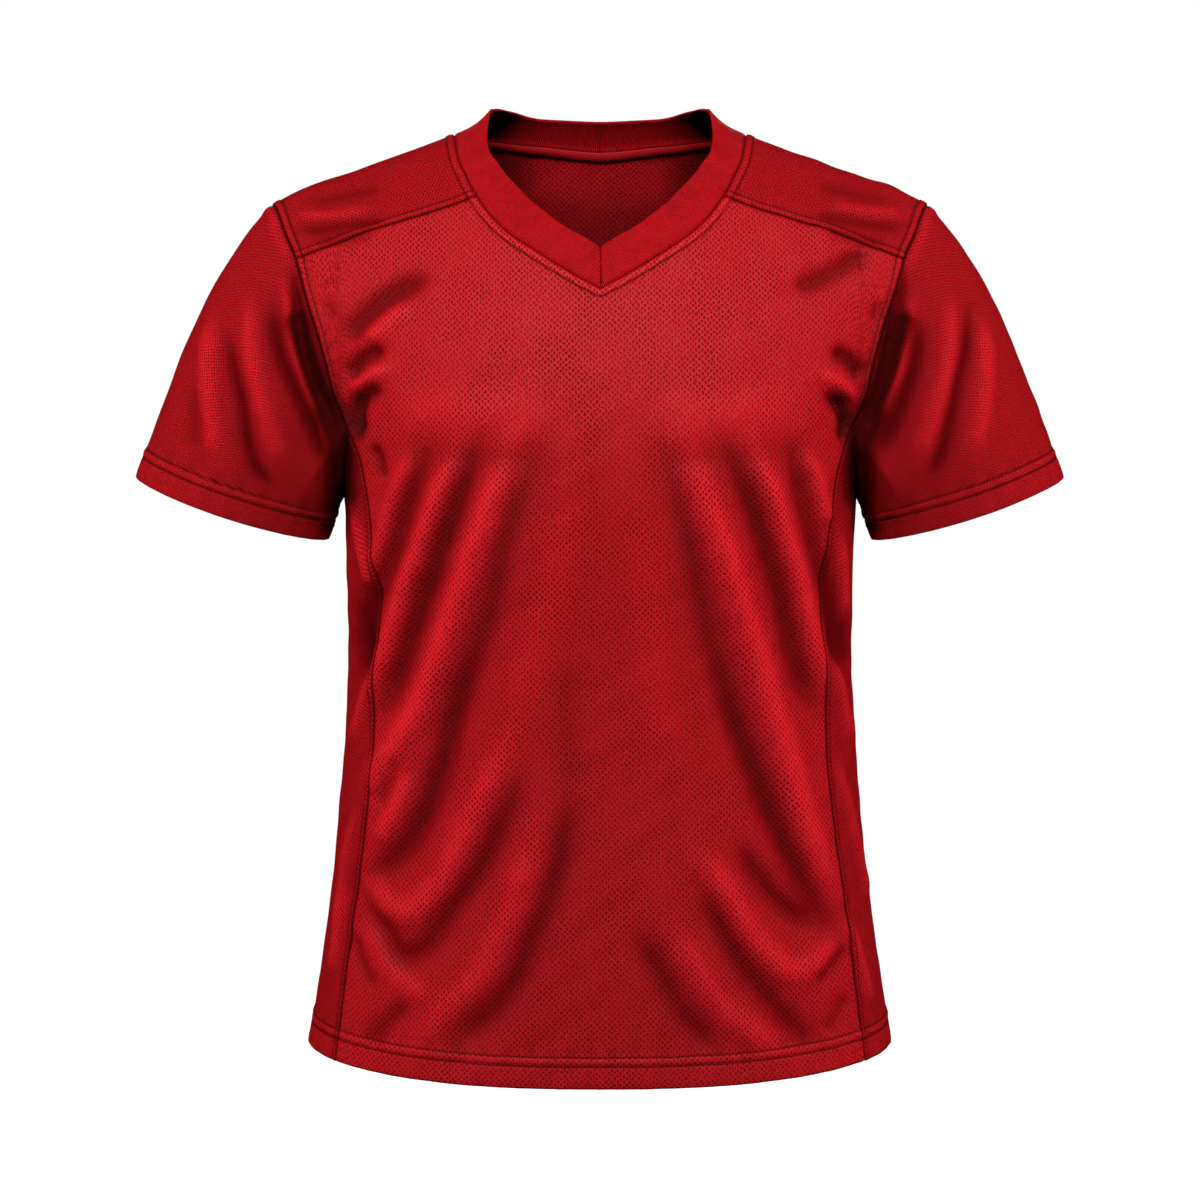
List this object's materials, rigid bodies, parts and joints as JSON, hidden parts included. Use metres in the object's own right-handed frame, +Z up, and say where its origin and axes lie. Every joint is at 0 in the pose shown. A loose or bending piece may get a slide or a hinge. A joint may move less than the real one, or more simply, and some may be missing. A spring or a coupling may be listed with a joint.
{
  "type": "football jersey",
  "caption": "Short-sleeved football jersey with a ribbed V-neck, shoulder yokes, side panels and set-in sleeves, filled out as if worn and open at neck, cuffs and hem.",
  "frame": {"origin": "middle between the shoulders, level with the shoulder line where the collar's seam crosses it", "axes": "+Z up, the front faces -Y, the wearer's left is at +X"},
  "size_m": [0.7566, 0.2703, 0.7736],
  "materials": {
    "mesh_knit": "red polyester mesh knit with small oval dimples in staggered rows, soft sheen",
    "satin_knit": "red polyester knit with a fine smooth grain and a satin sheen",
    "rib_knit": "red doubled 1x1 rib knit, ribs across the band, matt",
    "tape": "red rolled neck tape, matt"
  },
  "bodies": {
    "root": {"front": "mesh_knit", "back": "mesh_knit", "side_panel_left": "satin_knit", "side_panel_right": "satin_knit", "yoke_left": "satin_knit", "yoke_right": "satin_knit", "sleeve_left": "satin_knit", "sleeve_right": "satin_knit", "collar": "rib_knit", "neck_tape": "tape"}
  },
  "joints": []
}
